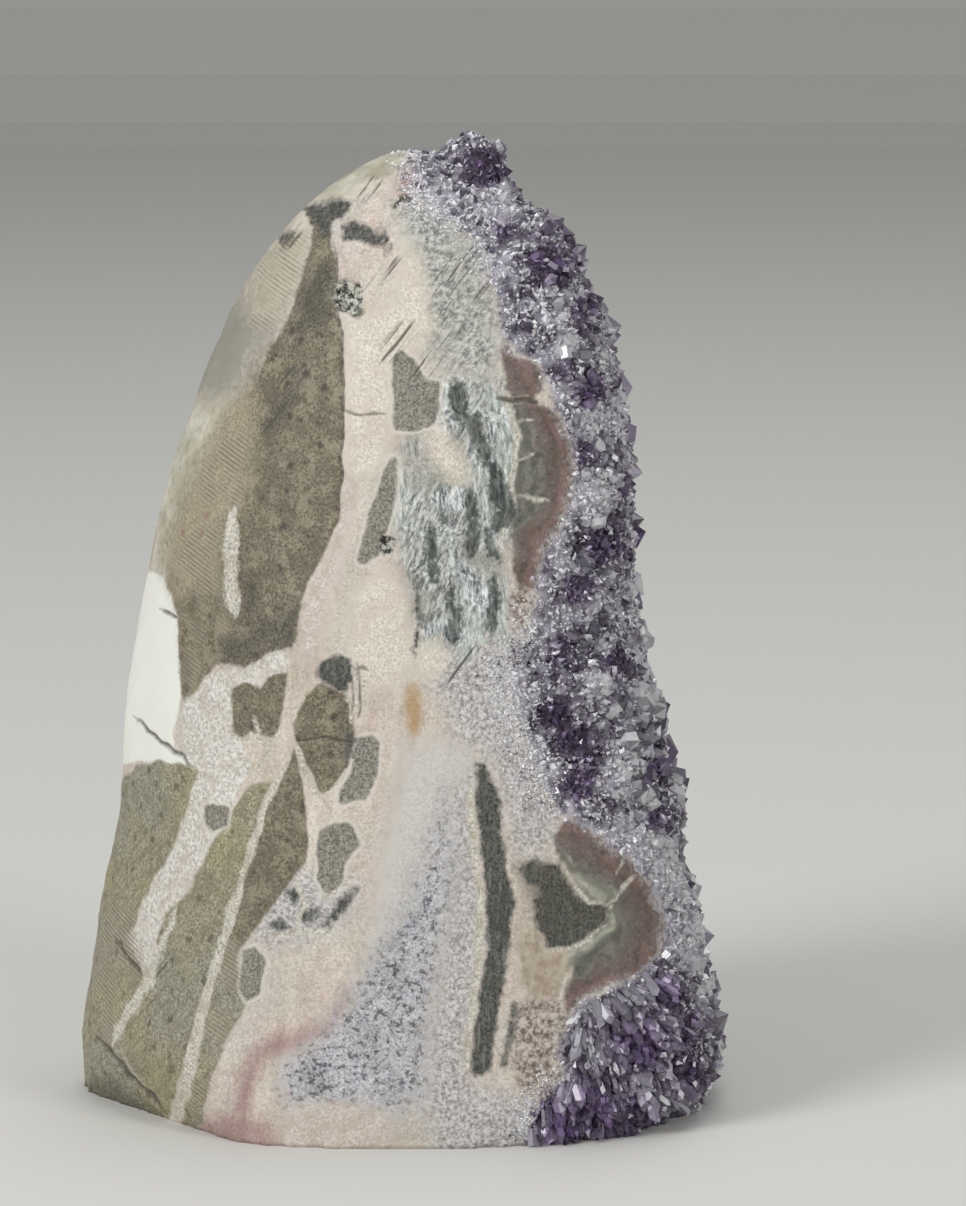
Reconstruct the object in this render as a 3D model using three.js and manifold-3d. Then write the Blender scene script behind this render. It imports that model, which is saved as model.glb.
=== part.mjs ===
// A standing piece of amethyst geode with a cut base, in millimetres, +Z up.
// The rind is on the -X side, the ground side that shows the layers faces -Y, and the crystal face looks along +X.
// The origin is under the middle of the piece, on the surface that it stands on.

import * as THREE from "three";
import { mergeVertices } from "three/addons/utils/BufferGeometryUtils.js";
import Module from "manifold-3d";

const wasm = await Module();
wasm.setup();

// Driving dimensions.
const HEIGHT = 130; // base to the highest crystal tip
const BODY_HEIGHT = HEIGHT - 3.5; // base to the top of the stone and of the crystal bed
const WIDTH = 87; // rind to crystal tips
const DEPTH = 70; // ground side to far side
const CRUST_THICKNESS = 7; // amethyst under the crystal points, at the middle of the crystal face
const FACE_DISH = 3; // how far the middle of the crystal face sinks between its two edges
const SEAT_GAP = 0.3; // between the stone and the crust that grows on it

// How the outside runs with height. Each row is a height, as a share of BODY_HEIGHT, and a place across the
// piece, as a share of half of WIDTH or half of DEPTH.
const RIND = [
  [0, -1], [0.047, -1.002], [0.095, -0.984], [0.138, -0.955], [0.214, -0.929], [0.3, -0.88], [0.45, -0.84],
  [0.537, -0.8], [0.62, -0.752], [0.707, -0.671], [0.79, -0.584], [0.854, -0.5], [0.896, -0.427],
  [0.9375, -0.308], [0.979, -0.175], [1, -0.04],
];
const CRYSTAL_BED = [
  [0, 0.92], [0.047, 0.99], [0.095, 0.985], [0.138, 0.965], [0.214, 0.91], [0.3, 0.875], [0.387, 0.835],
  [0.45, 0.775], [0.537, 0.735], [0.62, 0.715], [0.707, 0.71], [0.79, 0.66], [0.833, 0.61], [0.875, 0.545],
  [0.9, 0.49], [0.9375, 0.39], [0.958, 0.32], [0.979, 0.26], [1, 0.2],
];
const NEAR_SIDE = [
  [0, -1], [0.1, -0.99], [0.3, -0.95], [0.5, -0.87], [0.7, -0.73], [0.82, -0.58], [0.9, -0.45], [0.96, -0.31],
  [1, -0.13],
];
const FAR_SIDE = [
  [0, 1], [0.1, 0.985], [0.3, 0.94], [0.5, 0.85], [0.7, 0.7], [0.82, 0.55], [0.9, 0.43], [0.96, 0.29],
  [1, 0.12],
];

// Where the amethyst begins on the ground side and on the far side, in the same shares. An agate nodule pushes it
// out near the foot of the ground side.
const NEAR_EDGE = [
  [0, 0.36], [0.05, 0.42], [0.1, 0.49], [0.14, 0.53], [0.175, 0.68], [0.21, 0.78], [0.255, 0.77], [0.295, 0.7],
  [0.33, 0.53], [0.38, 0.42], [0.44, 0.355], [0.48, 0.335], [0.54, 0.41], [0.61, 0.43], [0.67, 0.52], [0.72, 0.52],
  [0.78, 0.43], [0.83, 0.31], [0.9, 0.27], [0.94, 0.15], [1, 0.04],
];
const FAR_EDGE = [
  [0, 0.52], [0.2, 0.56], [0.4, 0.45], [0.6, 0.47], [0.8, 0.36], [0.92, 0.2], [1, 0.04],
];

// How square the plan is: 2 is an ellipse, and more is squarer.
const RIND_SQUARENESS = 1.75;
const CRYSTAL_SQUARENESS = 2.9;

// Low ground waves on the outside.
const WAVE_HEIGHT = 0.45;

// Fineness of the outside of the stone, of the bed under the crystals, and of the seat where the two meet.
const STONE_SIDES = 48;
const STONE_LEVELS = 22;
const BED_SIDES = 32;
const BED_LEVELS = 14;
const SEAT_COLUMNS = 12;
const SEAT_ROWS = 27;

// Crystals: how many, and the radius of their six-sided points.
const FACE_CRYSTALS = 158;
const EDGE_CRYSTALS = 50;
const SMALLEST_CRYSTAL = 3.2;
const LARGEST_CRYSTAL = 5.4;
const EDGE_CRYSTAL_SHARE = 0.62; // size of the crystals broken off at the ground sides, against those on the face
const POINT_STEEPNESS = 0.85; // height of a crystal point above the bed, for each unit of radius
const GIRDLE_DEPTH = 0.25; // how far under the bed a crystal is widest, for each unit of radius
const CRYSTAL_TILT = 0.42; // most sideways lean, for each unit along the crystal

// The flat left by a corner that broke off at the foot of the rind: a point on it and the way it looks.
const CHIP_AT = new THREE.Vector3(-0.4 * WIDTH, -0.21 * DEPTH, 0);
const CHIP_LOOKS = new THREE.Vector3(-0.78, -0.63, -0.3).normalize();

// A smooth function through rows of [where, value], with the slope at each row taken from its neighbours.
function smoothThrough(rows) {
  const slopes = rows.map((_, i) => {
    const before = rows[Math.max(i - 1, 0)];
    const after = rows[Math.min(i + 1, rows.length - 1)];
    return (after[1] - before[1]) / (after[0] - before[0]);
  });
  return (where) => {
    const last = rows.length - 2;
    const found = rows.findIndex((row) => row[0] > where) - 1;
    const i = found < 0 ? (where < rows[0][0] ? 0 : last) : found;
    const span = rows[i + 1][0] - rows[i][0];
    const t = THREE.MathUtils.clamp((where - rows[i][0]) / span, 0, 1);
    const [t2, t3] = [t * t, t * t * t];
    return (
      (2 * t3 - 3 * t2 + 1) * rows[i][1] + (t3 - 2 * t2 + t) * span * slopes[i] +
      (3 * t2 - 2 * t3) * rows[i + 1][1] + (t3 - t2) * span * slopes[i + 1]
    );
  };
}

const rindAt = smoothThrough(RIND);
const bedAt = smoothThrough(CRYSTAL_BED);
const nearAt = smoothThrough(NEAR_SIDE);
const farAt = smoothThrough(FAR_SIDE);
const nearEdgeAt = smoothThrough(NEAR_EDGE);
const farEdgeAt = smoothThrough(FAR_EDGE);

// The middle and the half sizes of the level section at a height share.
function sectionAt(share) {
  const [left, right] = [(rindAt(share) * WIDTH) / 2, (bedAt(share) * WIDTH) / 2];
  const [near, far] = [(nearAt(share) * DEPTH) / 2, (farAt(share) * DEPTH) / 2];
  return { x: (left + right) / 2, y: (near + far) / 2, across: (right - left) / 2, deep: (far - near) / 2 };
}

// How far the crystal face sinks at a place across it, from -1 at the near edge to 1 at the far one.
function dishAt(sideways) {
  return FACE_DISH * Math.max(0, 1 - sideways * sideways * 1.4);
}

// A point of the outside: angle 0 looks along +X and a quarter turn along +Y. Inner points have a smaller reach.
function outsideAt(angle, share, reach = 1) {
  const section = sectionAt(share);
  const [c, s] = [Math.cos(angle), Math.sin(angle)];
  const power = 2 / THREE.MathUtils.lerp(RIND_SQUARENESS, CRYSTAL_SQUARENESS, (1 + c) / 2);
  const along = Math.sign(c) * Math.abs(c) ** power;
  const sideways = Math.sign(s) * Math.abs(s) ** power;
  const wave = WAVE_HEIGHT * Math.sin(5 * angle + 9 * share) * Math.sin(2 * angle - 13 * share);
  const sunk = c > 0 ? dishAt(sideways) * c * THREE.MathUtils.smoothstep(1 - share, 0, 0.2) : 0;
  return new THREE.Vector3(
    section.x + reach * (along * (section.across + wave) - sunk),
    section.y + reach * sideways * (section.deep + wave),
    share * BODY_HEIGHT,
  );
}

// The outward direction of the outside at a point.
function outwardAt(angle, share) {
  const step = 0.01;
  const top = Math.min(share + step, 1);
  const round = outsideAt(angle + step, share).sub(outsideAt(angle - step, share));
  const up = outsideAt(angle, top).sub(outsideAt(angle, top - 2 * step));
  return round.cross(up).normalize();
}

// The solid of a closed three.js geometry, and back again.
function solidOf(geometry) {
  const bare = new THREE.BufferGeometry();
  bare.setAttribute("position", geometry.getAttribute("position"));
  bare.setIndex(geometry.getIndex());
  const merged = mergeVertices(bare, 1e-4);
  const corners = merged.getIndex().array;
  const kept = [];
  for (let i = 0; i < corners.length; i += 3) {
    const [a, b, c] = corners.slice(i, i + 3);
    if (a !== b && b !== c && c !== a) kept.push(a, b, c);
  }
  return new wasm.Manifold(
    new wasm.Mesh({
      numProp: 3,
      vertProperties: merged.getAttribute("position").array,
      triVerts: new Uint32Array(kept),
    }),
  );
}

function geometryOf(solid) {
  const mesh = solid.getMesh();
  const geometry = new THREE.BufferGeometry();
  geometry.setAttribute("position", new THREE.BufferAttribute(mesh.vertProperties, 3));
  geometry.setIndex(new THREE.BufferAttribute(mesh.triVerts, 1));
  geometry.computeVertexNormals();
  return geometry;
}

// Moves each vertex of a geometry to where a function puts it.
function reshape(geometry, place) {
  const position = geometry.getAttribute("position");
  const point = new THREE.Vector3();
  for (let i = 0; i < position.count; i++) {
    const moved = place(point.fromBufferAttribute(position, i));
    position.setXYZ(i, moved.x, moved.y, moved.z);
  }
  return geometry;
}

// The whole outside, as a can that is reshaped level by level. Its flat bottom is the cut base.
function wholePiece(sides, levels) {
  const wall = Array.from({ length: levels + 1 }, (_, i) => {
    const rise = i / levels;
    return new THREE.Vector2(1, rise + 0.06 * Math.sin(Math.PI * rise) * rise);
  });
  const can = new THREE.LatheGeometry([new THREE.Vector2(0, 0), ...wall, new THREE.Vector2(0, 1)], sides);
  can.rotateX(Math.PI / 2);
  return solidOf(
    reshape(can, (p) => outsideAt(Math.atan2(p.y, p.x), p.z, Math.min(1, Math.hypot(p.x, p.y)))),
  );
}

// Where the stone ends and the amethyst begins, at a place across the piece.
function seatAt(y, z) {
  const share = THREE.MathUtils.clamp(z / BODY_HEIGHT, 0, 1);
  const section = sectionAt(share);
  const sideways = THREE.MathUtils.clamp((y - section.y) / section.deep, -1, 1);
  const fullness = (1 - Math.abs(sideways) ** CRYSTAL_SQUARENESS) ** (1 / CRYSTAL_SQUARENESS);
  const bed = section.x + section.across * fullness - dishAt(sideways);
  const atEdge = THREE.MathUtils.smoothstep(Math.abs(sideways), 0.45, 0.92);
  const edge = sideways < 0 ? nearEdgeAt(share) : farEdgeAt(share);
  return THREE.MathUtils.lerp(bed - CRUST_THICKNESS, (edge * WIDTH) / 2, atEdge);
}

// All the space on the crystal side of the seat, moved along X by a gap.
function crystalSpace(gap) {
  const [tall, wide, reach] = [HEIGHT * 1.08, DEPTH * 1.2, WIDTH];
  const block = new THREE.BoxGeometry(reach, wide, tall, 1, SEAT_COLUMNS, SEAT_ROWS);
  block.translate(reach / 2, 0, HEIGHT / 2);
  return solidOf(reshape(block, (p) => (p.x > 0 ? p : p.clone().setX(seatAt(p.y, p.z) + gap))));
}

// The space in front of the broken corner.
function chipSpace() {
  const block = new THREE.BoxGeometry(WIDTH, WIDTH, WIDTH);
  block.translate(0, 0, WIDTH / 2);
  block.applyQuaternion(new THREE.Quaternion().setFromUnitVectors(new THREE.Vector3(0, 0, 1), CHIP_LOOKS));
  block.translate(...CHIP_AT.toArray());
  return solidOf(block);
}

// The largest body of a solid, with no loose chips and no voids shut in between crystals.
function largest(solid) {
  const bodies = solid.decompose();
  return bodies.reduce((kept, body) => (body.volume() > kept.volume() ? body : kept));
}

// One quartz crystal: a six-sided point that is widest just under the bed that it stands on.
function crystal(site) {
  const { at, lean, radius, turn } = site;
  const outline = [
    new THREE.Vector2(0, -radius),
    new THREE.Vector2(radius, -radius * GIRDLE_DEPTH),
    new THREE.Vector2(0, radius * POINT_STEEPNESS),
  ];
  const column = new THREE.LatheGeometry(outline, 6, turn);
  column.applyQuaternion(new THREE.Quaternion().setFromUnitVectors(new THREE.Vector3(0, 1, 0), lean));
  column.translate(at.x, at.y, at.z);
  return solidOf(column);
}

let draws = 0;
function chance(low, high) {
  draws += 1;
  return THREE.MathUtils.lerp(low, high, THREE.MathUtils.seededRandom(draws));
}

// Even crystal sites: each new one is the loneliest of many tries.
function crystalSites(count, accepts, sizeShare) {
  const tries = 60;
  const sites = [];
  while (sites.length < count) {
    let best = null;
    for (let i = 0; i < tries; i++) {
      const [angle, share] = [chance(-0.62 * Math.PI, 0.62 * Math.PI), chance(0.01, 0.99)];
      const at = outsideAt(angle, share);
      if (!accepts(at, outwardAt(angle, share))) continue;
      const room = Math.min(...sites.map((s) => s.at.distanceTo(at)), WIDTH);
      if (!best || room > best.room) best = { at, room, outward: outwardAt(angle, share) };
    }
    if (!best) continue;
    const size = chance(0, 1);
    const lean = new THREE.Vector3(chance(-1, 1), chance(-1, 1), chance(-1, 1)).multiplyScalar(CRYSTAL_TILT);
    sites.push({
      at: best.at,
      lean: lean.add(best.outward).normalize(),
      radius: sizeShare * THREE.MathUtils.lerp(SMALLEST_CRYSTAL, LARGEST_CRYSTAL, size * size),
      turn: chance(0, Math.PI / 3),
    });
  }
  return sites;
}

// Sites on the crystal face, and on the two ground sides where the amethyst is cut through.
function allSites() {
  const margin = 1.5;
  const onCrust = (at) => at.x > seatAt(at.y, at.z) + margin;
  const onFace = (at, outward) => onCrust(at) && outward.x > 0.55;
  const onEdge = (at, outward) => onCrust(at) && outward.x <= 0.55;
  return [
    ...crystalSites(FACE_CRYSTALS, onFace, 1),
    ...crystalSites(EDGE_CRYSTALS, onEdge, EDGE_CRYSTAL_SHARE),
  ];
}

function amethystCrust() {
  const floor = new THREE.BoxGeometry(2 * WIDTH, 2 * DEPTH, HEIGHT).translate(0, 0, -HEIGHT / 2);
  const crystals = wasm.Manifold.union(allSites().map(crystal));
  const bed = wholePiece(BED_SIDES, BED_LEVELS);
  const grown = bed.add(crystals).intersect(crystalSpace(0)).subtract(solidOf(floor));
  return largest(grown);
}

function hostStone() {
  return wholePiece(STONE_SIDES, STONE_LEVELS).subtract(crystalSpace(-SEAT_GAP)).subtract(chipSpace());
}

const stoneFinish = new THREE.MeshStandardMaterial({ color: 0x8f8676, roughness: 0.6, metalness: 0 });
const amethystFinish = new THREE.MeshStandardMaterial({ color: 0x5d4a78, roughness: 0.25, metalness: 0 });

const stone = new THREE.Mesh(geometryOf(hostStone()), stoneFinish);
stone.name = "host_stone";
const crust = new THREE.Mesh(geometryOf(amethystCrust()), amethystFinish);
crust.name = "amethyst_crust";

const geode = new THREE.Group();
geode.name = "amethyst_geode";
geode.add(stone, crust);

export default geode;
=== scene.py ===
import math

import bmesh
import bpy
import numpy as np
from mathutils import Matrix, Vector
from mathutils.bvhtree import BVHTree


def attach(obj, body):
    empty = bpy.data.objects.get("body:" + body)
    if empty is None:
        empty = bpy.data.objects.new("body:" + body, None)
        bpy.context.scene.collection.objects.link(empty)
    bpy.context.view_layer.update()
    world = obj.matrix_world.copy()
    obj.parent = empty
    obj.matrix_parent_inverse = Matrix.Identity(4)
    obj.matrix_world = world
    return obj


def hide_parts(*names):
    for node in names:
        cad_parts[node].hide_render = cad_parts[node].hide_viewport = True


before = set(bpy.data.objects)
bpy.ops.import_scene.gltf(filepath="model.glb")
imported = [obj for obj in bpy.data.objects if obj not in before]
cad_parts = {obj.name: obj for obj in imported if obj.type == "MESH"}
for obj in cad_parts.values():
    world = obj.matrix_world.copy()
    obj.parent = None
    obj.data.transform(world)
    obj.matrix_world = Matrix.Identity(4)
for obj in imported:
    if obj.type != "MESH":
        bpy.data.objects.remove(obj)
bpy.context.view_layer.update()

# Looks of the standing amethyst geode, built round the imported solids. Metres, +Z up, origin under it.
# The rind is on -X, the ground side that shows the layers faces -Y, and the crystal face looks along +X.

MM = 0.001
rng = np.random.default_rng(7)

# The photograph's frame and the camera that fits it. Marking outlines below are in pixels of that frame.
PHOTO_WIDTH, PHOTO_HEIGHT = 966, 1206
PX_PER_MM = 7.51  # at the point looked at
CAMERA_DISTANCE = 700.0  # mm
CAMERA_ELEVATION = math.radians(9)
LOOK_AT = np.array([10.8, -3.5, 66.6])  # mm
CAMERA_UP = np.array([0, math.sin(CAMERA_ELEVATION), math.cos(CAMERA_ELEVATION)])
CAMERA_BACK = np.array([0, -math.cos(CAMERA_ELEVATION), math.sin(CAMERA_ELEVATION)])

# Body mesh.
VOXEL = 0.80 * MM
SEAT_OVERLAP = 0.4 * MM  # the crust is moved this far into the stone, so that the two fuse
WELD = 0.05 * MM
STONE_SMOOTHING = 22  # rounds
BED_SMOOTHING = 70
SMOOTHING_STEP = 0.55  # of the way to the middle of the neighbours, in each round
THIN_LINE = 5.5  # lines of a smaller half width get a finer mesh
SPLIT_REACHES = (6.0, 2.5)  # pixels from a thin line, for the first and the second split

# Relief in mm along the normals: of the stone, of its markings and of the bed that the crystals grow on.
LUMP_RELIEF, RIPPLE_RELIEF, ROUGH_RELIEF = 0.10, 0.05, 0.03
VUG_DEPTH, CRACK_DEPTH, SLIVER_DEPTH, VEIN_DEPTH, CLAST_DEPTH = 1.5, 0.4, 0.25, 0.12, 0.10
GRAIN_RELIEF, BAND_RELIEF = 0.14, 0.30
CUT_SINK, FACE_RISE, BED_ROUGH, BED_JITTER = 0.5, 1.2, 0.3, 0.22

# How pale the amethyst is, from 0 to 1, and what each cause adds or takes away.
TONE, PATCH_TONE, FLECK_TONE, LINE_TONE, WHITE_TONE, PURPLE_TONE = 0.52, 0.15, 0.26, 0.25, 0.57, 0.45
CRYSTAL_UNEVEN, CALM_IN_PURPLE = 0.23, 0.1
# Facets painted lighter or darker than their crystal, as painted glints and shade, and some painted white as
# frost and painted glints.
FACET_GLINT_CONTRAST, FROST_AND_GLINT_SHARE, PALEST_FACET = 0.42, 0.2, 0.92
TONE_STEPS = [0.0, 0.25, 0.5, 0.75, 1.0]
TONE_SHADES = [(58, 48, 68), (90, 80, 99), (130, 125, 137), (192, 190, 197), (242, 241, 244)]
RICH_PURPLE = np.array([-0.02, -0.3, 0.14])  # what the richest crystals add to each channel, as a share

# Depths in mm: the amethyst's near edge leans back towards the top, and the photo's places end behind it.
NEAR_EDGE_Y, NEAR_EDGE_LEAN, BODY_TOP = -32, 24, 127
PHOTO_PLACES_END = 6
PLACES_WANDER = 34  # pixels

# The far side, where the markings wander off and the solids take over from the amethyst's line.
WANDER_START, WANDER_END, SOLIDS_TAKE_OVER = 2, 32, 12  # mm of Y
WANDER_ACROSS, WANDER_UP, EDGE_WOBBLE, FAR_LINE_LUMPS = 60, 90, 1.2, 5  # pixels

# Crystals and grains. Sides and reaches are shares of the radius, drawn between two values.
CRYSTAL_SIDES, SHOULDER_STEP, TIP_LEAN = (0.78, 1.22), 0.2, 0.2
GRAIN_REACHES, GRAIN_JITTER = (0.6, 1.3), 0.15
SMALL_BIAS, BIG_PLACE_GROWTH = 2.2, 0.3
LOWEST_POINT = 0.02  # mm
QUARTZ_IOR = 1.544

# Borders that two of the markings share.
BAND_LEFT = [(127, 939), (138, 916), (148, 886), (165, 864), (174, 850), (190, 800), (197, 770), (188, 765)]
BAND_RIGHT = [(228, 815), (212, 846), (197, 872), (190, 890), (165, 915), (156, 942)]
CLAST_LEFT = [(166, 565), (172, 535), (182, 500), (200, 470), (212, 440), (225, 418)]
CLAST_RIGHT = [(337, 268), (334, 290), (342, 335), (344, 405), (342, 480), (338, 520), (328, 542)]

# Outlines of the markings on the ground side, by kind.
AMETHYST_LINE = [
    (415, 165), (425, 200), (480, 240), (497, 290), (505, 340), (540, 365), (555, 400), (575, 450),
    (575, 490), (560, 530), (545, 550), (540, 580), (538, 610), (525, 640), (510, 680), (520, 720),
    (535, 760), (545, 790), (560, 810), (600, 838), (640, 865), (660, 900), (665, 930), (660, 955),
    (640, 975), (600, 995), (580, 1005), (570, 1025), (560, 1050), (565, 1075), (550, 1095), (535, 1110),
    (525, 1140), (520, 1165),
]
AMETHYST = AMETHYST_LINE + [(520, 1400), (1400, 1400), (1400, -200), (430, -200), (418, 130)]
WHITE_PATCH_AND_SHEEN = [  # smooth and white on the rind, painted brighter as the sheen along the left edge
    [
        (90, 620), (141, 585), (150, 570), (162, 575), (168, 590), (178, 620), (180, 640), (181, 700),
        (172, 735), (175, 748), (188, 765), (160, 760), (138, 761), (90, 775),
    ],
]
WHITE = [
    [  # broad band that runs down to the left
        (181, 718), (185, 702), (200, 683), (215, 669), (245, 668), (266, 653), (283, 648), (291, 655),
        (287, 672), (270, 680), (258, 690), (240, 683), (231, 686), (234, 728), (250, 760), (240, 790),
        *BAND_RIGHT, (160, 955), (148, 982), (136, 957), *BAND_LEFT,
    ],
]
OLIVE = [
    [
        (135, 766), (160, 760), *BAND_LEFT[::-1], (143, 972), (148, 982), (125, 1025), (114, 1045),
        (150, 1095), (165, 1125), (120, 1190), (-40, 1190), (-40, 900), (90, 820),
    ],
    [
        *BAND_RIGHT[::-1], (250, 785), (272, 780), (262, 805), (250, 845), (240, 880), (220, 940),
        (203, 995), (192, 1030), (182, 1070), (166, 1130), (150, 1095), (114, 1045), (125, 1025),
        (148, 982), (160, 955),
    ],
    [
        (230, 925), (240, 945), (240, 985), (247, 1005), (228, 1035), (218, 1065), (208, 1085),
        (198, 1135), (178, 1135), (192, 1085), (203, 1035), (213, 985), (222, 955),
    ],
]
BROWN = [
    [  # large clast
        (331, 205), (331, 240), *CLAST_RIGHT, (316, 565), (302, 602), (298, 630), (292, 648), (266, 653),
        (258, 661), (245, 668), (218, 662), (200, 683), (185, 702), (181, 690), (178, 620), (168, 588),
        *CLAST_LEFT, (252, 382), (264, 350), (277, 338), (288, 318), (298, 285), (308, 250), (313, 227),
        (303, 208),
    ],
    [  # wedge
        (296, 745), (305, 800), (308, 845), (307, 862), (285, 890), (258, 925), (238, 950), (228, 935),
        (246, 870), (257, 835), (280, 782),
    ],
    [  # leaf
        (318, 684), (308, 690), (296, 716), (293, 726), (304, 757), (316, 786), (323, 795), (331, 790),
        (348, 764), (356, 736), (354, 716), (347, 696), (334, 687),
    ],
    [
        (231, 688), (245, 683), (260, 690), (268, 677), (286, 672), (287, 694), (281, 724), (274, 738),
        (256, 733), (246, 741), (234, 734),
    ],
]
GREY = [
    [(391, 455), (398, 460), (396, 500), (381, 555), (366, 566), (357, 562), (366, 524), (378, 490)],
    [(356, 738), (375, 736), (381, 742), (377, 777), (363, 801), (338, 804), (340, 790), (351, 774)],
    [
        (320, 831), (335, 823), (350, 822), (362, 843), (346, 864), (342, 882), (335, 896), (325, 892),
        (317, 878), (317, 850),
    ],
    [
        (392, 360), (400, 350), (412, 358), (425, 378), (440, 383), (441, 408), (433, 424), (416, 432),
        (394, 430),
    ],
    [(202, 808), (215, 804), (229, 808), (227, 826), (214, 832), (204, 826)],
    [(242, 950), (255, 945), (266, 958), (258, 995), (245, 1003), (240, 985)],
]
DARK = [
    [  # cap at the top of the large clast
        (304, 208), (320, 203), (332, 199), (347, 199), (352, 206), (344, 216), (333, 221), (331, 231),
        (323, 236), (314, 222),
    ],
    [(340, 228), (352, 220), (372, 228), (383, 240), (377, 247), (365, 243), (344, 239)],
    [(320, 663), (335, 655), (346, 656), (356, 675), (345, 696), (332, 686), (324, 684), (317, 675)],
    [
        (475, 762), (484, 765), (498, 790), (505, 860), (515, 900), (510, 950), (500, 1000), (495, 1050),
        (490, 1075), (470, 1074), (472, 1050), (478, 1000), (488, 950), (482, 850), (476, 790),
    ],
    [(513, 1000), (519, 1005), (512, 1040), (507, 1068), (501, 1066), (506, 1035)],
    [  # core of the nodule
        (518, 868), (536, 858), (541, 863), (559, 865), (564, 875), (572, 887), (581, 898), (591, 904),
        (610, 905), (607, 921), (597, 930), (590, 933), (581, 942), (570, 947), (548, 949), (544, 936),
        (535, 924), (535, 910), (531, 899), (541, 895), (539, 887), (528, 884), (523, 877),
    ],
    [(380, 222), (387, 232), (391, 246), (386, 256), (382, 240)],
    [(350, 309), (358, 306), (365, 311), (360, 318), (351, 316)],
    [(278, 236), (290, 231), (297, 238), (288, 244), (280, 243)],
    [(300, 915), (312, 908), (320, 913), (310, 924), (300, 922)],
    [(322, 926), (334, 906), (350, 889), (361, 885), (352, 899), (340, 917), (331, 928)],
    [(266, 925), (280, 918), (290, 926), (278, 932)],
    [(285, 893), (296, 886), (303, 895), (295, 903)],
    [(345, 733), (356, 735), (353, 752), (340, 776), (343, 758)],
]
DARKER_STRETCHES_AND_SHADOW = [  # darker stretches in the clasts and core; painted shadow at the chipped bottom-left corner
    [
        (225, 640), (245, 632), (262, 620), (280, 615), (300, 600), (292, 648), (266, 652), (245, 667),
        (221, 660),
    ],
    [(240, 572), (256, 578), (260, 600), (255, 622), (243, 616), (241, 590)],
    [(262, 425), (285, 385), (302, 368), (306, 380), (292, 405), (272, 430)],
    [(298, 300), (314, 262), (332, 262), (334, 300), (320, 330), (296, 334)],
    # painted shadow at the chipped bottom-left corner of the base
    [(85, 1080), (112, 1080), (160, 1112), (150, 1150), (60, 1130)],
    [(515, 865), (558, 862), (566, 876), (590, 900), (606, 918), (570, 944), (548, 945), (536, 926)],
]
VUG = [
    [(333, 283), (345, 276), (358, 283), (363, 305), (355, 314), (340, 312), (333, 300)],
    [(379, 536), (388, 532), (396, 540), (394, 554), (383, 556)],
]
QUARTZ = [
    [
        (395, 205), (420, 200), (445, 210), (480, 240), (497, 290), (505, 335), (498, 380), (480, 385),
        (455, 372), (430, 350), (415, 330), (425, 300), (418, 262), (402, 238),
    ],
]
STREAKED = [
    [
        (402, 440), (425, 425), (440, 382), (462, 375), (500, 385), (514, 410), (510, 470), (516, 520),
        (506, 560), (500, 640), (480, 640), (465, 655), (440, 650), (422, 650), (410, 600), (400, 550),
        (398, 490),
    ],
]
SUGAR = [
    [
        (425, 660), (470, 645), (530, 640), (515, 680), (525, 730), (540, 790), (560, 815), (548, 850),
        (515, 862), (500, 790), (484, 755), (455, 740), (438, 700),
    ],
    [
        (446, 800), (470, 775), (478, 850), (482, 950), (468, 1060), (472, 1085), (505, 1090),
        (535, 1110), (520, 1170), (440, 1170), (424, 1100), (432, 1030), (440, 950), (454, 870),
    ],
    [
        (262, 905), (285, 885), (300, 872), (316, 868), (327, 894), (350, 880), (362, 884), (352, 905),
        (338, 930), (320, 938), (290, 942), (262, 948), (250, 944),
    ],
]
CREAM = [
    [(425, 420), (445, 428), (460, 450), (470, 482), (455, 484), (438, 470), (424, 445)],
    [(402, 238), (418, 258), (428, 300), (436, 330), (420, 345), (404, 330), (398, 290)],
    [(416, 648), (440, 640), (448, 662), (436, 678), (418, 672)],
    [
        (348, 320), (400, 300), (425, 330), (415, 350), (393, 365), (391, 430), (378, 470), (352, 480),
        (346, 400),
    ],
    [(356, 590), (385, 568), (408, 600), (412, 655), (395, 690), (364, 690), (348, 650)],
]
SPECKLE = [
    [
        (443, 797), (454, 866), (448, 910), (440, 950), (435, 985), (430, 1040), (424, 1096), (400, 1112),
        (370, 1106), (328, 1104), (290, 1110), (278, 1085), (283, 1062), (324, 1034), (345, 1005),
        (366, 962), (397, 924), (424, 866),
    ],
]
PINK = [
    [
        (228, 1120), (240, 1075), (252, 1045), (275, 1036), (328, 1020), (345, 985), (354, 990),
        (335, 1030), (300, 1050), (268, 1060), (256, 1085), (250, 1120),
    ],
    [(395, 158), (415, 155), (422, 175), (412, 196), (398, 190)],
    [(190, 1122), (240, 1112), (268, 1124), (285, 1160), (190, 1160)],
]
HAZE = [  # whitish and greyer, in the middle
    [
        (404, 742), (448, 738), (478, 758), (474, 796), (448, 806), (428, 868), (402, 922), (376, 944),
        (384, 866), (394, 800),
    ],
]
BLUSH = [  # pinkish stretches beside the large clast and at the base
    [
        (347, 462), (356, 490), (348, 540), (334, 590), (322, 640), (316, 668), (292, 655), (300, 602),
        (315, 565), (328, 542), (341, 490),
    ],
    [(282, 1118), (310, 1106), (350, 1104), (392, 1118), (400, 1170), (280, 1170)],
]
TAN = [
    [(518, 930), (535, 928), (548, 950), (572, 950), (568, 975), (558, 1000), (535, 998), (520, 985)],
]
STAIN = [[(405, 688), (415, 683), (422, 700), (421, 728), (412, 742), (406, 725)]]
PALE = [  # light bands of the nodule
    [(564, 862), (568, 855), (584, 873), (600, 885), (617, 892), (607, 903), (596, 901), (578, 887)],
    [
        (607, 924), (612, 908), (618, 914), (618, 928), (606, 941), (590, 952), (574, 964), (566, 972),
        (570, 950), (590, 938),
    ],
]
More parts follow.
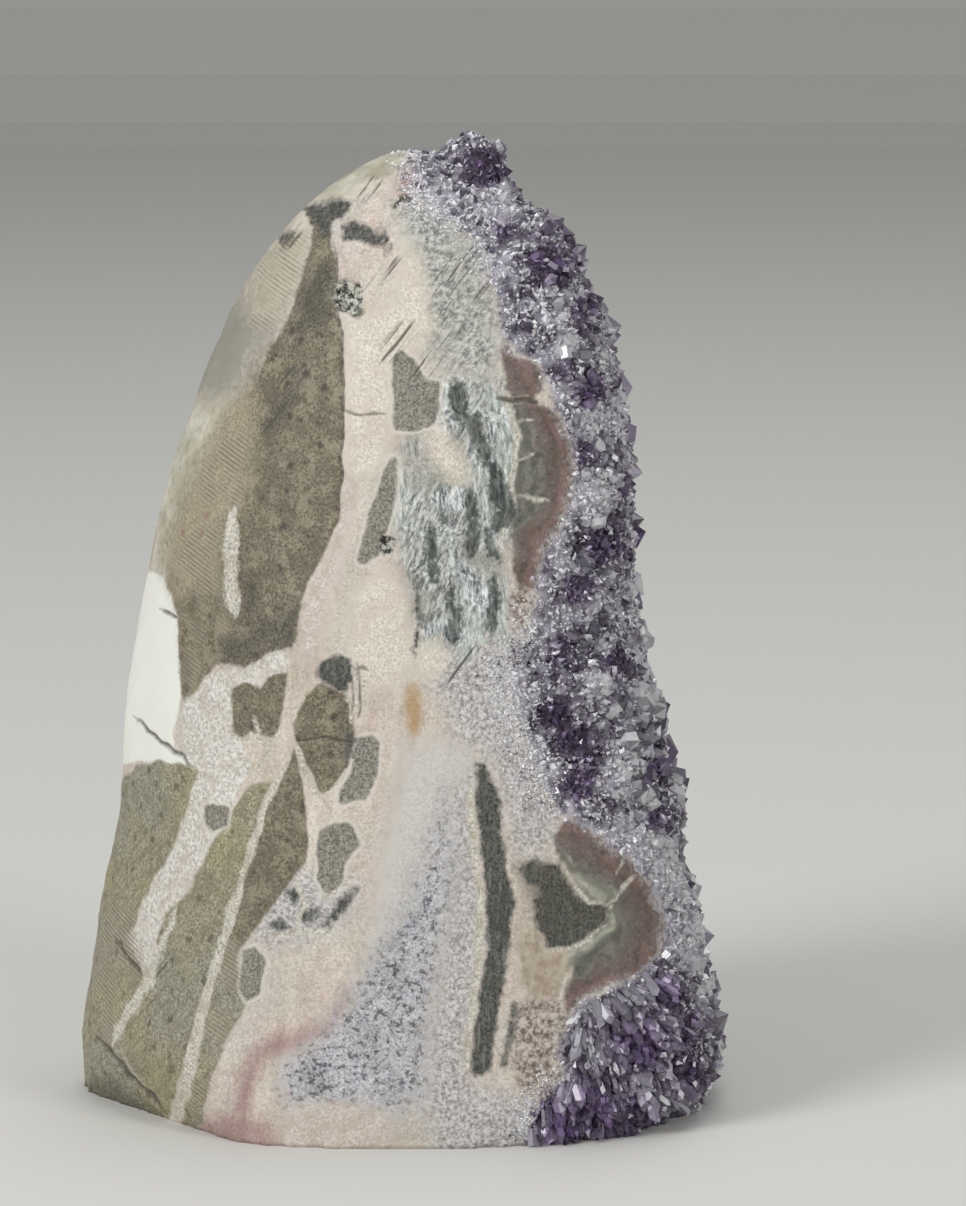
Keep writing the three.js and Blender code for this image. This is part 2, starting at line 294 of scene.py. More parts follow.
AGATE = [
    [(500, 325), (513, 355), (530, 360), (543, 372), (541, 392), (530, 400), (512, 398), (505, 390)],
    [
        (512, 404), (535, 402), (556, 412), (572, 440), (576, 480), (571, 512), (560, 533), (545, 552),
        (538, 592), (520, 588), (512, 560), (510, 520), (518, 430),
    ],
    [
        (563, 820), (576, 816), (602, 838), (628, 857), (655, 890), (665, 928), (655, 960), (625, 982),
        (588, 994), (566, 1014), (560, 1000), (570, 975), (575, 950), (606, 918), (612, 906), (588, 899),
        (576, 881), (560, 860), (552, 838),
    ],
]
RUST = [
    [
        (515, 1005), (535, 998), (560, 1002), (572, 1022), (562, 1050), (566, 1075), (552, 1095),
        (530, 1110), (510, 1060),
    ],
    [(528, 768), (538, 775), (541, 800), (534, 812), (526, 795)],
    [(506, 588), (525, 585), (540, 600), (541, 622), (528, 640), (512, 632)],
]
FACET = [
    [
        (300, 214), (308, 217), (313, 227), (308, 250), (298, 285), (288, 305), (280, 318), (266, 318),
        (255, 310), (250, 290), (254, 262), (264, 248), (282, 238), (290, 224),
    ],
    [  # cream strip of rind
        (195, 400), (215, 405), (240, 400), *CLAST_LEFT[::-1], (150, 570), (120, 600), (60, 600),
        (60, 400),
    ],
    [  # pale rim at the top
        (303, 208), (320, 203), (332, 199), (347, 199), (380, 185), (415, 160), (425, 100), (330, 100),
        (240, 195),
    ],
]
RIND = [
    [
        (250, 290), (255, 310), (266, 318), (280, 318), (277, 338), (264, 350), (252, 382), (240, 400),
        (215, 405), (195, 400), (130, 400), (130, 290),
    ],
]
BEIGE = [  # paler part of the large clast
    [
        (160, 560), (176, 510), (196, 468), (220, 420), (250, 380), (258, 410), (248, 470), (241, 512),
        (226, 520), (221, 560), (216, 585), (196, 590), (176, 600),
    ],
]
RIBS = [
    [
        (246, 268), (262, 248), (282, 238), (307, 236), (300, 280), (288, 308), (268, 328), (248, 326),
        (240, 300),
    ],
    [
        (176, 545), (200, 520), (224, 528), (221, 590), (228, 620), (218, 655), (200, 680), (186, 690),
        (182, 640), (178, 600),
    ],
    [(198, 470), (225, 420), (245, 410), (250, 470), (240, 505), (205, 510)],
    [(104, 902), (136, 905), (146, 985), (114, 1045), (88, 1000)],
    [(236, 940), (240, 985), (222, 1040), (206, 1092), (186, 1124), (184, 1080), (206, 1005), (222, 950)],
]
VEINS = [  # white lines with a half width
    ([(290, 757), (276, 782), (257, 832), (238, 890), (220, 950)], 3.2),
    ([(244, 872), (232, 910), (220, 950), (203, 1010), (193, 1045), (185, 1080), (174, 1130)], 4.8),
    ([(160, 958), (146, 984), (132, 1006), (120, 1028), (112, 1046)], 5),
    ([(178, 903), (166, 935), (150, 975)], 2.5),
    ([(233, 505), (231, 545), (231, 590), (236, 618)], 7.5),
    ([(238, 742), (250, 735), (260, 741), (268, 754), (256, 774)], 3.5),
    ([(254, 716), (258, 728), (256, 737)], 1.5),
    ([(281, 728), (272, 742), (262, 746)], 2),
    ([(297, 741), (304, 770), (315, 792), (323, 798)], 3),
    ([(351, 668), (357, 690), (355, 714)], 1.8),
    ([(361, 672), (366, 695), (362, 716)], 1.6),
    ([(345, 694), (350, 708), (353, 724)], 1.5),
    ([
        (498, 394), (509, 408), (514, 424), (518, 438), (515, 462), (512, 482), (515, 506), (502, 530),
        (499, 544), (507, 563), (515, 576),
    ], 2.2),
    ([(515, 462), (526, 457), (533, 452)], 1.2),
    ([(514, 424), (524, 418), (534, 420)], 1.2),
    ([(520, 497), (534, 499), (548, 500)], 1.6),
    ([(470, 765), (474, 850), (480, 900), (479, 960), (466, 1060), (470, 1082)], 3.5),
    ([(563, 866), (570, 879), (579, 890), (590, 901), (606, 904)], 1.6),
    ([(607, 905), (622, 888), (637, 874)], 2.2),
    ([(616, 876), (620, 866), (622, 860)], 1.5),
    ([(545, 951), (572, 949), (590, 938), (608, 922)], 1.8),
    ([(566, 972), (560, 990), (556, 1002)], 1.4),
    ([(322, 900), (345, 884), (358, 868)], 2.5),
    ([(270, 938), (300, 930), (318, 930), (336, 936)], 3),
    ([(296, 880), (304, 905), (296, 930)], 2.5),
]
RIDGES = [  # pale green ridges in the streaked quartz
    ([(487, 385), (500, 408), (506, 440), (510, 482)], 8),
    ([(446, 382), (444, 402), (436, 420)], 7),
    ([(478, 440), (486, 486), (484, 530)], 6),
    ([(404, 470), (398, 500), (402, 540)], 6),
    ([(470, 600), (476, 640), (462, 660)], 8),
    ([(505, 575), (500, 620), (506, 650)], 6),
]
SLIVERS = [  # dark green slivers in the streaked quartz
    ([(455, 380), (459, 405), (462, 424)], 8),
    ([(468, 412), (480, 440), (488, 466)], 8),
    ([(492, 462), (498, 490), (508, 510), (494, 532)], 10),
    ([(500, 470), (507, 500), (504, 520)], 5),
    ([(484, 528), (490, 548), (497, 560)], 5),
    ([(468, 490), (474, 520), (470, 560)], 7),
    ([(452, 590), (456, 620), (452, 650)], 6),
    ([(493, 574), (496, 604), (490, 634)], 5),
    ([(430, 525), (434, 585)], 5),
    ([(418, 574), (420, 620), (415, 656)], 2.2),
]
STROKES = [  # cracks
    ([(392, 208), (400, 197), (415, 200)], 3),
    ([(497, 398), (515, 401), (537, 402)], 2.2),
    ([(97, 1037), (130, 1075), (167, 1114)], 1.8),
    ([(115, 935), (128, 957), (142, 976)], 1.4),
    ([(133, 716), (160, 740), (192, 766)], 1.8),
    ([(160, 608), (178, 620)], 1.5),
    ([(298, 741), (325, 738), (352, 742)], 0.9),
    ([(334, 240), *CLAST_RIGHT], 0.9),
    ([(343, 411), (362, 415), (388, 413)], 0.9),
    ([(356, 664), (361, 690), (359, 718)], 0.9),
    ([(350, 676), (354, 696), (351, 712)], 0.8),
    ([(355, 670), (362, 666), (368, 668)], 1.0),
]
SCRATCHED = [  # places with bundles of fine scratches, as lines with a half width
    ([(480, 238), (458, 268), (434, 300)], 12),
    ([(498, 275), (468, 308), (440, 342)], 9),
    ([(412, 322), (383, 362)], 10),
    ([(442, 342), (416, 382)], 9),
    ([(402, 258), (356, 300)], 6),
    ([(478, 646), (448, 684)], 8),
    ([(305, 365), (285, 395), (262, 432)], 14),
    ([(330, 262), (298, 312)], 10),
    ([(380, 178), (360, 200)], 7),
    ([(300, 225), (282, 248)], 8),
    ([(170, 960), (150, 1010)], 8),
]
OUTLINES = {
    "patch_and_sheen": WHITE_PATCH_AND_SHEEN, "white": WHITE, "olive": OLIVE, "brown": BROWN, "grey": GREY, "dark": DARK,
    "shade": DARKER_STRETCHES_AND_SHADOW, "vug": VUG, "quartz": QUARTZ, "streaked": STREAKED, "sugar": SUGAR, "cream": CREAM,
    "blush": BLUSH, "haze": HAZE, "speckle": SPECKLE, "pink": PINK, "tan": TAN, "agate": AGATE,
    "rust": RUST, "facet": FACET, "rind": RIND, "ribs": RIBS, "stain": STAIN, "pale": PALE, "beige": BEIGE,
}
LINES = {"vein": VEINS, "sliver": SLIVERS, "ridge": RIDGES, "stroke": STROKES, "scratched": SCRATCHED}

# Places in the amethyst, in photo pixels with a radius: deep purple, white, large crystals, frost along
# the line, crystals that stand out at the rim, and places where the bed is higher or lower.
PURPLE_SPOTS = [
    (483, 172, 24), (500, 227, 14), (547, 263, 27), (583, 314, 14), (560, 369, 16), (590, 390, 22),
    (580, 455, 18), (632, 490, 14), (606, 545, 23), (580, 592, 21), (560, 650, 16), (616, 664, 18),
    (560, 714, 20), (575, 745, 26), (578, 785, 24), (655, 772, 16), (655, 818, 16), (668, 992, 22),
    (636, 1036, 34), (684, 1030, 22), (684, 1070, 24), (588, 1096, 28), (556, 1116, 30), (622, 1118, 38),
]
WHITE_SPOTS = [
    (493, 206, 26), (438, 196, 20), (500, 265, 14), (552, 312, 24), (566, 345, 14), (555, 393, 18),
    (608, 420, 28), (632, 455, 12), (590, 492, 26), (634, 530, 11), (560, 560, 14), (636, 580, 13),
    (640, 655, 12), (600, 684, 20), (645, 692, 18), (518, 692, 20), (535, 745, 15), (622, 775, 26),
    (548, 770, 14), (640, 840, 24), (672, 880, 32), (692, 936, 28), (706, 990, 16), (584, 1046, 15),
    (674, 1098, 13),
]
BIG_SPOTS = [(665, 750, 80)]
FROST_SPOTS = [(515, 690, 85), (530, 780, 45), (540, 1115, 45), (440, 185, 60), (505, 250, 40)]
RIM_SPOTS = [(640, 460, 22), (655, 700, 26), (672, 770, 30), (672, 840, 26), (706, 985, 26), (720, 1045, 22)]
HEIGHT_SPOTS = [(477, 142, 36, 4.2), (690, 748, 42, -2.4), (697, 848, 38, -1.8)]  # the last number is mm
NODULE = np.array([596.0, 925.0])
FOOT = [
    (575, 1022), (600, 1002), (660, 970), (700, 940), (760, 960), (760, 1160), (520, 1160), (545, 1105),
    (568, 1075),
]


def photo_px(points):
    """Pixels of the photograph's frame at points in mm."""
    away = points - (LOOK_AT + CAMERA_DISTANCE * CAMERA_BACK)
    zoom = PX_PER_MM * CAMERA_DISTANCE / -(away @ CAMERA_BACK)
    across, up = zoom * away[:, 0], zoom * (away @ CAMERA_UP)
    return np.stack([PHOTO_WIDTH / 2 + across, PHOTO_HEIGHT / 2 - up], axis=1)


def field(length, count=7):
    """A smooth random function of place, from about -1 to 1, with waves of about that length in mm."""
    ways = rng.normal(size=(count, 3))
    ways *= (2 * math.pi / (length * rng.uniform(0.6, 1.5, count)) / np.linalg.norm(ways, axis=1))[:, None]
    starts = rng.uniform(0, 2 * math.pi, count)
    return lambda points: np.sin(points @ ways.T + starts).sum(axis=1) / math.sqrt(count)


def ease(low, high, values):
    """0 at low, 1 at high, with soft ends."""
    t = np.clip((values - low) / (high - low), 0, 1)
    return t * t * (3 - 2 * t)


def line_distance(px, line):
    """Distance in pixels to a line of joined points."""
    nearest = np.full(len(px), 1e9)
    for a, b in zip(np.array(line[:-1], float), np.array(line[1:], float)):
        along = np.clip((px - a) @ (b - a) / ((b - a) @ (b - a)), 0, 1)
        gap = px - a - along[:, None] * (b - a)
        nearest = np.minimum(nearest, np.einsum("ij,ij->i", gap, gap))
    return np.sqrt(nearest)


def outline_distance(px, outline):
    """Signed distance in pixels to a closed outline, below zero inside it."""
    inside = np.zeros(len(px), bool)
    ring = outline + outline[:1]
    for (ax, ay), (bx, by) in zip(ring[:-1], ring[1:]):
        if ay == by:
            continue
        spans = (px[:, 1] < ay) != (px[:, 1] < by)
        inside ^= spans & (px[:, 0] < ax + (px[:, 1] - ay) * (bx - ax) / (by - ay))
    return np.where(inside, -1, 1) * line_distance(px, ring)


def lines_distance(px, lines):
    """Distance in pixels to the rims of lines that taper at both ends, below zero inside them."""
    nearest = np.full(len(px), 1e9)
    for way, half in lines:
        way = np.array(way, float)
        steps = np.linalg.norm(np.diff(way, axis=0), axis=1)
        starts = np.concatenate([[0], np.cumsum(steps)])
        for a, b, start, step in zip(way[:-1], way[1:], starts, steps):
            along = np.clip((px - a) @ (b - a) / step**2, 0, 1)
            gap = np.linalg.norm(px - a - along[:, None] * (b - a), axis=1)
            t = (start + along * step) / starts[-1]
            nearest = np.minimum(nearest, gap - half * np.sqrt(np.clip(5 * np.minimum(t, 1 - t), 0.02, 1)))
    return nearest


def spots(px, places):
    """1 in the middle of the listed places, falling to 0 at their rims."""
    share = np.zeros(len(px))
    for x, y, radius in places:
        share = np.maximum(share, ease(1.25, 0.3, np.hypot(px[:, 0] - x, px[:, 1] - y) / radius))
    return share


FAR_SHIFT_X, FAR_SHIFT_Y = field(55), field(70)
WOBBLE_X, WOBBLE_Y = field(3.4), field(3.4)
LUMPS, RIPPLES, ROUGH = field(9), field(4), field(1.6, 9)
TINT_PATCHES, TINT_FLECKS = field(6.5), field(2.4)


def map_points(points):
    """Pixels of the photograph's frame, which wander off behind the outline, so that the back differs."""
    px = photo_px(points)
    behind = ease(WANDER_START, WANDER_END, points[:, 1])
    px[:, 0] += WANDER_ACROSS * behind * FAR_SHIFT_X(points) + EDGE_WOBBLE * WOBBLE_X(points)
    px[:, 1] += WANDER_UP * behind * FAR_SHIFT_Y(points) + EDGE_WOBBLE * WOBBLE_Y(points)
    return px


# The body: both solids fused into one closed skin
def fused_mesh():
    bm = bmesh.new()
    bm.from_mesh(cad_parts["amethyst_crust"].data)
    bmesh.ops.translate(bm, verts=bm.verts, vec=(-SEAT_OVERLAP, 0, 0))
    bm.from_mesh(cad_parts["host_stone"].data)
    rough = bpy.data.meshes.new("rough")
    bm.to_mesh(rough)
    bm.free()
    holder = bpy.data.objects.new("holder", rough)
    bpy.context.scene.collection.objects.link(holder)
    remesh = holder.modifiers.new("fuse", "REMESH")
    remesh.mode = "VOXEL"
    remesh.voxel_size = VOXEL
    fused = bpy.data.meshes.new_from_object(holder.evaluated_get(bpy.context.evaluated_depsgraph_get()))
    bpy.data.objects.remove(holder)
    return fused


def refine(mesh):
    """Splits the faces next to the thin lines of the marked side, so that the lines stay thin."""
    bm = bmesh.new()
    bm.from_mesh(mesh)
    bmesh.ops.remove_doubles(bm, verts=bm.verts, dist=WELD)
    thin = [line for line in VEINS + SLIVERS + STROKES if line[1] < THIN_LINE]
    for reach in SPLIT_REACHES:
        points = np.array([v.co for v in bm.verts]) / MM
        near = (lines_distance(map_points(points), thin) < reach) & (points[:, 1] < 2)
        bm.verts.index_update()
        chosen = [e for e in bm.edges if near[e.verts[0].index] or near[e.verts[1].index]]
        bmesh.ops.subdivide_edges(bm, edges=chosen, cuts=1, use_grid_fill=True)
    bm.to_mesh(mesh)
    bm.free()


def read(items, name, width, kind=np.float32):
    values = np.zeros(len(items) * width, kind)
    items.foreach_get(name, values)
    return values.reshape(-1, width)


def smooth(points, edges, hold, rounds):
    """Moves each point towards the middle of its neighbours, by a share that hold takes away."""
    ends = np.concatenate([edges[:, 0], edges[:, 1]])
    others = np.concatenate([edges[:, 1], edges[:, 0]])
    count = np.maximum(np.bincount(ends, minlength=len(points)), 1)
    for _ in range(rounds):
        middle = np.stack(
            [np.bincount(ends, points[others, axis], len(points)) / count for axis in range(3)], axis=1
        )
        points = points + SMOOTHING_STEP * (1 - hold)[:, None] * (middle - points)
    return points


def add_numbers(mesh, name, values):
    layer = mesh.attributes.new(name, "FLOAT", "POINT")
    layer.data.foreach_set("value", np.ascontiguousarray(values, np.float32))


def place_points(mesh, points, on_base):
    points[on_base, 2] = 0
    mesh.vertices.foreach_set("co", (points * MM).astype(np.float32).ravel())
    mesh.update()


def crust_distance(points):
    """How much nearer the stone is than the crust, in pixels: below zero on the crust."""
    gaps = []
    for node in ("amethyst_crust", "host_stone"):
        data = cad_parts[node].data
        corners = [v.co for v in data.vertices]
        tree = BVHTree.FromPolygons(corners, [tuple(p.vertices) for p in data.polygons])
        gaps.append(np.array([tree.find_nearest(p * MM)[3] for p in points]) / MM)
    return PX_PER_MM * (gaps[0] - gaps[1])


def amethyst_distance(points, px):
    """Signed pixels to where the amethyst begins: by its line on the marked side, by the solids behind."""
    distance = outline_distance(px, AMETHYST)
    far = points[:, 1] > 0
    share = ease(0, SOLIDS_TAKE_OVER, points[far, 1])
    behind = crust_distance(points[far]) + FAR_LINE_LUMPS * LUMPS(points[far])
    distance[far] = (1 - share) * distance[far] + share * behind
    return distance


def markings(points):
    """Distances in pixels to each kind of marking, below zero inside it."""
    px = map_points(points)
    marks = {}
    for kind, outlines in OUTLINES.items():
        marks[kind] = np.min([outline_distance(px, outline) for outline in outlines], axis=0)
    for kind, lines in LINES.items():
        marks[kind] = lines_distance(px, lines)
    marks["amethyst"] = amethyst_distance(points, px)
    # Cracks are on the marked side alone, and the large clast fades out towards the rind.
    marks["stroke"] += 9 * ease(0, 5, points[:, 1])
    marks["brown"] /= 1 + 5 * ease(285, 240, px[:, 0]) * ease(600, 540, px[:, 1])
    return marks


def amethyst_spots(at, places):
    """Listed places on the amethyst, which wander and fade behind its near edge, so as not to form bands."""
    behind = at[:, 1] - NEAR_EDGE_Y - NEAR_EDGE_LEAN * (at[:, 2] / BODY_TOP) ** 3
    px = photo_px(at)
    px[:, 1] += PLACES_WANDER * ease(8, 34, behind) * LUMPS(at)
    return ease(42, 24, behind) * spots(px, places)


def tone(at, depth):
    """How pale the amethyst is, from about 0 to 1: in patches, paler near its line and at white places."""
    pale = TONE + PATCH_TONE * TINT_PATCHES(at) + FLECK_TONE * TINT_FLECKS(at)
    pale += LINE_TONE * ease(-38, -2, depth)
    pale += WHITE_TONE * amethyst_spots(at, WHITE_SPOTS)
    return pale - PURPLE_TONE * amethyst_spots(at, PURPLE_SPOTS)


def relief(points, normals, marks):
    """Height to add along the normals, in mm. It fades out towards the base."""
    rough, ripples = ROUGH(points), RIPPLES(points)
    height = LUMP_RELIEF * LUMPS(points) + RIPPLE_RELIEF * ripples + ROUGH_RELIEF * rough
    height -= VUG_DEPTH * ease(3, -6, marks["vug"]) * (0.6 + 0.4 * rough)
    height -= CRACK_DEPTH * ease(1.5, -2, marks["stroke"])
    height -= SLIVER_DEPTH * ease(1.5, -3, marks["sliver"])
    height -= VEIN_DEPTH * ease(2, -3, marks["vein"])
    height -= CLAST_DEPTH * ease(2, -2, np.minimum(marks["dark"], marks["grey"]))
    height += GRAIN_RELIEF * ease(4, -6, np.minimum(marks["speckle"], marks["quartz"])) * rough
    height += BAND_RELIEF * ease(4, -6, np.minimum(marks["agate"], marks["streaked"])) * ripples
    inside = ease(0, -8, marks["amethyst"])
    bed = FACE_RISE * ease(0.5, 0.8, normals[:, 0]) - CUT_SINK
    height += inside * (bed + BED_ROUGH * rough + BED_JITTER * rng.normal(size=len(points)))
    near_rim = ease(14, 4, points[:, 1])
    for x, y, radius, rise in HEIGHT_SPOTS:
        height += rise * inside * near_rim * spots(photo_px(points), [(x, y, radius)])
    return height * ease(0.0, 1.2, points[:, 2])


def body_mesh():
    """The fused skin with its markings, and the smooth directions that crystals grow in."""
    mesh = fused_mesh()
    edges = read(mesh.edges, "vertices", 2, np.int32)
    points = read(mesh.vertices, "co", 3).astype(float) / MM
    on_base = points[:, 2] < 0.25
    bed = ease(4, -8, amethyst_distance(points, photo_px(points)))
    points = smooth(points, edges, np.where(on_base, 1.0, 0.0), STONE_SMOOTHING)
    points = smooth(points, edges, np.where(on_base, 1.0, 1 - bed), BED_SMOOTHING)
    place_points(mesh, points, on_base)
    refine(mesh)

    points = read(mesh.vertices, "co", 3).astype(float) / MM
    on_base = points[:, 2] < 0.05
    normals = read(mesh.vertex_normals, "vector", 3).astype(float)
    marks = markings(points)
    place_points(mesh, points + relief(points, normals, marks)[:, None] * normals, on_base)
    for name, values in marks.items():
        add_numbers(mesh, "d_" + name, values)
    add_numbers(mesh, "tone", tone(points, marks["amethyst"]))
    corner = np.array([p.vertices[0] for p in mesh.polygons])
    mesh.polygons.foreach_set("use_smooth", marks["amethyst"][corner] > -2)
    mesh.update()
    return mesh, normals, marks["amethyst"]


# Shader helpers
def colour(r, g, b):
    """A colour read off in 0 to 255 steps, as linear light."""
    steps = [v / 255 for v in (r, g, b)]
    return [v / 12.92 if v <= 0.04045 else ((v + 0.055) / 1.055) ** 2.4 for v in steps] + [1.0]


class Shader:
    """A material under construction, with short ways to add nodes."""

    def __init__(self, name):
        self.material = bpy.data.materials.new(name)
        self.material.use_nodes = True
        self.nodes = self.material.node_tree.nodes
        self.links = self.material.node_tree.links
        self.place = self.add("TexCoord", "Object")

    def put(self, node, inputs):
        """Links or sets inputs of a node."""
        for name, value in inputs.items():
            if isinstance(value, bpy.types.NodeSocket):
                self.links.new(value, node.inputs[name])
            else:
                node.inputs[name].default_value = value

    def add(self, kind, output=0, inputs=None, **settings):
        """Adds a node with its settings and inputs, and gives one of its outputs."""
        node = self.nodes.new("ShaderNode" + kind)
        for name, value in settings.items():
            setattr(node, name, value)
        self.put(node, inputs or {})
        return node.outputs[output]

    def surface(self, inputs):
        self.put(self.nodes["Principled BSDF"], inputs)

    def given(self, name, output="Fac"):
        return self.add("Attribute", output, attribute_name=name)

    def math(self, operation, a, b=0.0):
        return self.add("Math", 0, {0: a, 1: b}, operation=operation)

    def times(self, a, b):
        return self.math("MULTIPLY", a, b)

    def spread(self, value, low, high, out_low=0.0, out_high=1.0):
        return self.add("MapRange", 0, {0: value, 1: low, 2: high, 3: out_low, 4: out_high})

    def mix(self, share, a, b):
        return self.add("Mix", 2, {"Factor": share, 6: a, 7: b}, data_type="RGBA")

    def drawn_out(self, long, lean, deep=1.0):
        """Place coordinates drawn out along Y, and along a direction that leans from +Z to +X in degrees."""
        turn = (0, math.radians(lean), 0)
        inputs = {"Vector": self.place, "Rotation": turn, "Scale": (1, deep, long)}
        return self.add("Mapping", 0, inputs, vector_type="TEXTURE")

    def noise(self, size, detail=3.0, roughness=0.55, long=1.0, lean=0.0, deep=1.0):
        """Noise with features of that size in mm, drawn out along a direction if long is above 1."""
        place = self.place if long == 1 else self.drawn_out(long, lean, deep)
        inputs = {"Vector": place, "Scale": 1 / (size * MM), "Detail": detail, "Roughness": roughness}
        return self.add("TexNoise", "Fac", inputs)

    def cells(self, size):
        return self.add("TexVoronoi", "Distance", {"Vector": self.place, "Scale": 1 / (size * MM)})

    def bands(self, period, lean):
        """Straight bands of that period in mm, across a direction that leans from +Z towards +X."""
        scale = math.pi / 10 / (period * MM)
        inputs = {"Vector": self.drawn_out(1, lean), "Scale": scale, "Distortion": 1.0, "Detail": 1.0}
        return self.add("TexWave", "Fac", inputs, bands_direction="Z")

    def bump(self, height, strength, distance):
        return self.add("Bump", 0, {"Height": height, "Strength": strength, "Distance": distance * MM})


class StoneShader(Shader):
    """The stone's material: noises that its layers share, and the look that each layer goes over."""

    def __init__(self, name):
        super().__init__(name)
        self.grain = self.noise(0.36, 4, 0.78)
        self.mid_grain = self.spread(self.grain, 0.38, 0.62)
        self.sugar_grain = self.noise(0.5, 4, 0.78)
        self.crumbs = self.noise(0.85, 4, 0.72)
        self.fleck = self.noise(1.2, 3, 0.6)
        self.mottle = self.noise(2.6, 4, 0.7)
        self.blotch = self.noise(5, 3, 0.55)
        self.drift = self.noise(6.5, 3)
        self.cloud = self.noise(20, 2, 0.5)
        self.streak = self.noise(2.4, 4, 0.6, long=7, lean=4)
        self.fine_streak = self.noise(0.55, 5, 0.78, long=5.5, lean=-5)
        self.scratch = self.noise(0.4, 2, 0.5, long=30, lean=38, deep=30)
        self.ragged = self.times(self.math("SUBTRACT", self.noise(0.8, 3, 0.6), 0.5), 9.0)
        dots = self.spread(self.cells(2.3), 0.32, 0.18)
        self.specks = self.times(dots, self.spread(self.fleck, 0.45, 0.55))
        self.look = None

    def mask(self, kind, soft=1.5, wobble=0.6, reach=0.0):
        """1 inside that kind of marking, with a ragged rim. Soft and reach are in pixels."""
        distance = self.math("ADD", self.given("d_" + kind), self.times(self.ragged, wobble))
        return self.spread(distance, soft + reach, reach - soft)

    def two(self, share, low, high):
        return self.mix(share, colour(*low), colour(*high))

    def lay(self, under, share, over, most=1.0):
        """One look over another, which may be a colour in 0 to 255 steps."""
        if isinstance(over, tuple):
            over = colour(*over)
        return self.mix(share if most == 1 else self.times(share, most), under, over)

    def cover(self, share, over, most=1.0):
        self.look = self.lay(self.look, share, over, most)


def lay_matrix(s):
    """Chalcedony and quartz that fill the space between the clasts."""
    s.look = s.two(s.spread(s.streak, 0.32, 0.66), (190, 177, 160), (224, 215, 200))
    s.cover(s.spread(s.cloud, 0.45, 0.62), s.two(s.streak, (186, 180, 170), (214, 208, 196)))
    s.cover(s.spread(s.drift, 0.5, 0.62), s.two(s.streak, (198, 178, 168), (220, 204, 194)), 0.7)
    s.cover(s.spread(s.fleck, 0.5, 0.64), (172, 160, 147), 0.4)
    s.cover(s.spread(s.grain, 0.49, 0.60), (142, 131, 120), 0.4)
    s.cover(s.spread(s.grain, 0.46, 0.36), (238, 234, 226), 0.4)
    s.cover(s.mask("haze", 16, 4), s.two(s.mid_grain, (180, 176, 171), (216, 213, 208)), 0.85)
    sugar = s.two(s.spread(s.sugar_grain, 0.38, 0.60), (122, 119, 117), (216, 213, 211))
    s.cover(s.mask("sugar", 15, 4), sugar, 0.95)
    slanted = s.noise(0.55, 4, 0.8, long=1.8, lean=40)
    quartz = s.two(s.spread(slanted, 0.40, 0.60), (106, 108, 101), (206, 206, 199))
    quartz = s.lay(quartz, s.spread(s.blotch, 0.48, 0.62), (186, 184, 174), 0.5)
    s.cover(s.mask("quartz", 14, 3), quartz, 0.95)
    cross_streak = s.noise(0.5, 5, 0.8, long=4.0, lean=22)
    streaked = s.two(s.spread(s.fine_streak, 0.42, 0.59), (74, 82, 84), (226, 229, 226))
    crossed = s.two(s.spread(cross_streak, 0.42, 0.59), (92, 96, 93), (214, 216, 210))
    streaked = s.lay(streaked, s.spread(s.blotch, 0.44, 0.54), crossed)
    greyer = s.two(s.mid_grain, (128, 126, 114), (188, 184, 172))
    streaked = s.lay(streaked, s.spread(s.drift, 0.52, 0.62), greyer, 0.7)
    s.cover(s.mask("streaked", 9, 4), streaked)
    ridge = s.two(s.spread(s.fine_streak, 0.40, 0.60), (118, 128, 121), (230, 235, 228))
    s.cover(s.mask("ridge", 5, 2), ridge, 0.85)
    pink = s.two(s.spread(s.streak, 0.3, 0.7), (144, 106, 103), (186, 158, 152))
    pink = s.lay(pink, s.spread(s.grain, 0.48, 0.6), (126, 104, 98), 0.6)
    s.cover(s.mask("pink", 9, 2), pink, 0.85)
    salt = s.two(s.spread(s.grain, 0.34, 0.64), (136, 136, 140), (218, 218, 222))
    darker_salt = s.two(s.mid_grain, (118, 118, 122), (196, 196, 200))
    salt = s.lay(salt, s.spread(s.blotch, 0.45, 0.6), darker_salt, 0.7)
    salt = s.lay(salt, s.spread(s.crumbs, 0.52, 0.60), (62, 63, 67), 0.85)
    s.cover(s.mask("speckle", 15, 4), salt)
    cream = s.two(s.mid_grain, (187, 178, 161), (236, 228, 214))
    s.cover(s.mask("cream", 9, 2), s.lay(cream, s.spread(s.mottle, 0.5, 0.62), (202, 190, 174), 0.6))
    blush = s.two(s.mid_grain, (170, 155, 144), (226, 216, 207))
    s.cover(s.mask("blush", 9, 2), s.lay(blush, s.spread(s.fleck, 0.5, 0.62), (184, 166, 152), 0.5), 0.85)
    s.cover(s.mask("stain", 4, 1.5), s.two(s.mid_grain, (160, 128, 84), (190, 162, 124)), 0.9)
    tan = s.two(s.spread(s.mottle, 0.36, 0.64), (166, 149, 130), (198, 191, 171))
    s.cover(s.mask("tan", 5, 1.0), s.lay(tan, s.spread(s.fleck, 0.5, 0.6), (144, 122, 106), 0.5))


